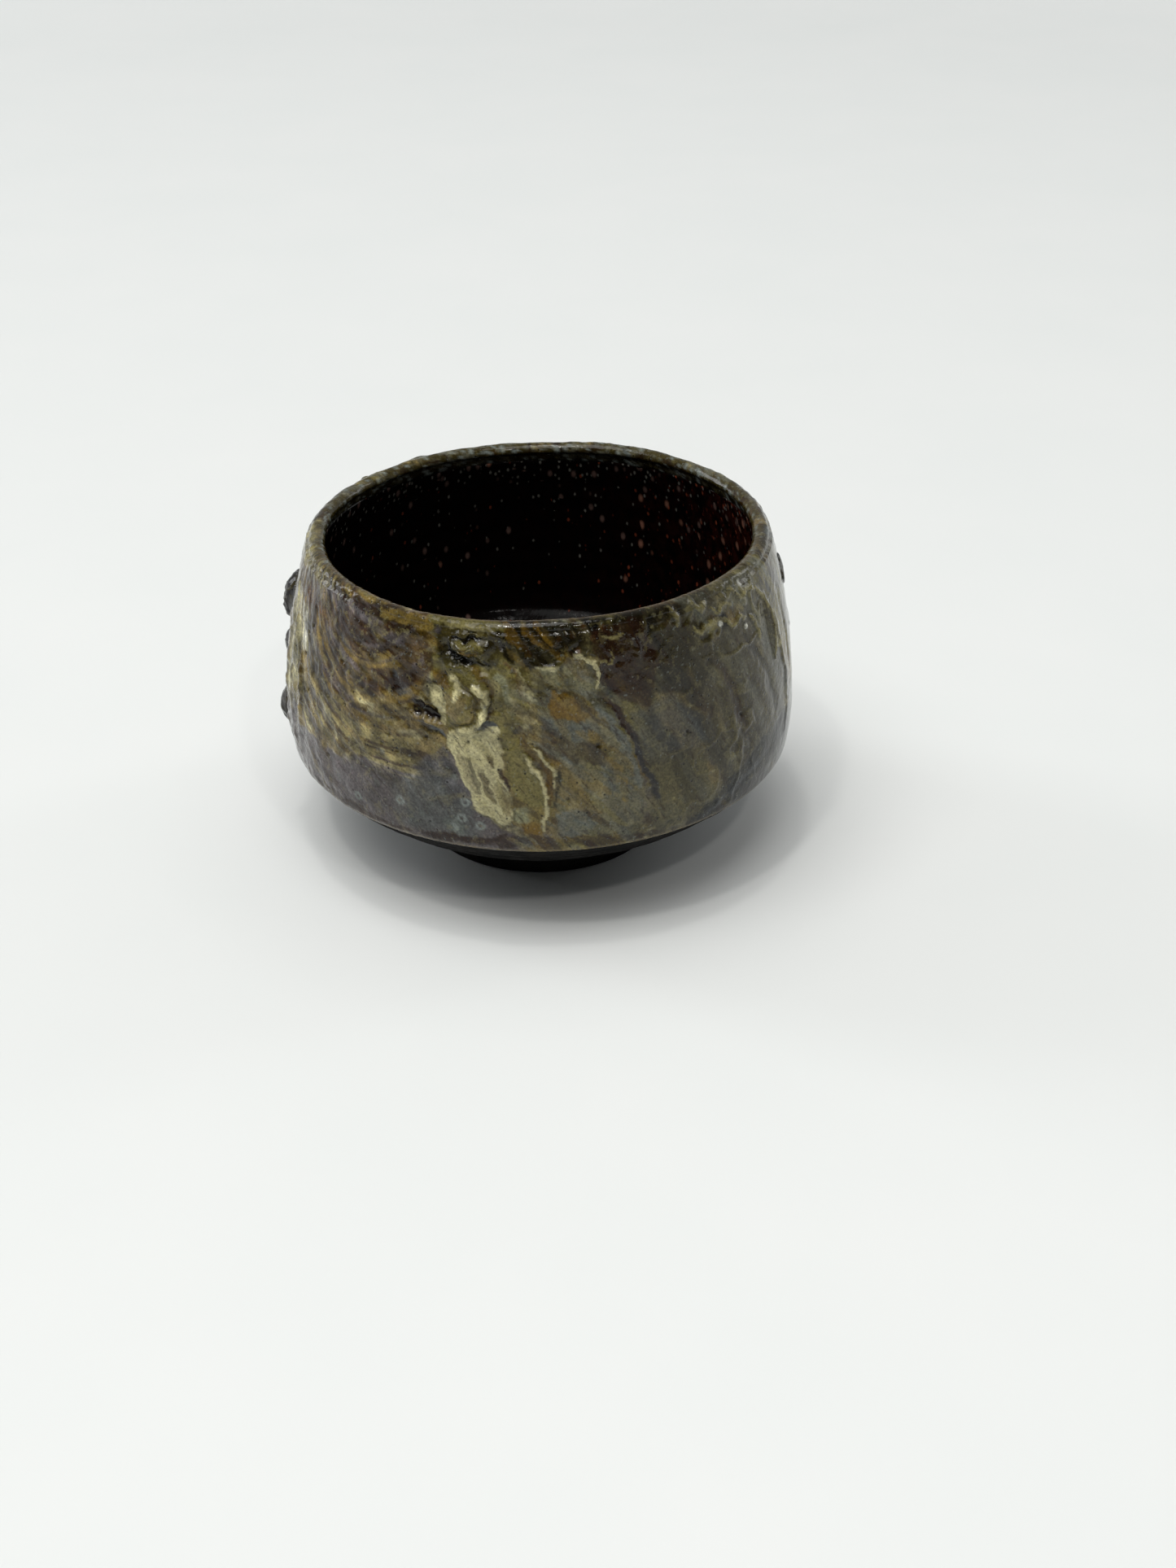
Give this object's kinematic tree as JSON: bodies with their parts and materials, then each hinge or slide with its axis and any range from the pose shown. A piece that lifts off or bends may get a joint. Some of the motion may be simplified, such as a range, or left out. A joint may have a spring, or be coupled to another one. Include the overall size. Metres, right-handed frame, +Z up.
{
  "type": "matcha bowl",
  "caption": "Low, wide stoneware tea bowl with a luted foot ring, ash glaze outside, dark iron glaze inside, and hand-laid clay and slip daubs on the wall.",
  "frame": {"origin": "the wheel's axis at the foot ring's resting face, on the table", "axes": "+Z up along the wheel's axis, -Y towards the bowl's front face, +X to the front's right"},
  "size_m": [0.1199, 0.1185, 0.0772],
  "materials": {
    "stoneware": "matt, fine-grained, dark iron-bearing clay",
    "ash_glaze": "glossy, runny olive, ochre, cream and blue-grey ash glaze",
    "iron_glaze": "glossy black-brown iron glaze with rust specks",
    "slip_daub": "glossy, cream to olive slip under the ash glaze"
  },
  "bodies": {
    "root": {"clay_body": "stoneware", "foot_ring": "stoneware", "outer_glaze": "ash_glaze", "inner_glaze": "iron_glaze", "rim_lump": "slip_daub", "shell_boss": "slip_daub", "slip_stroke": "slip_daub", "hook_ridge": "slip_daub", "right_ridge": "slip_daub", "right_nub": "slip_daub", "left_fin": "slip_daub", "left_lump_low": "slip_daub", "left_lump_high": "slip_daub", "rim_nub_left": "slip_daub", "rim_nub_back": "slip_daub"}
  },
  "joints": []
}
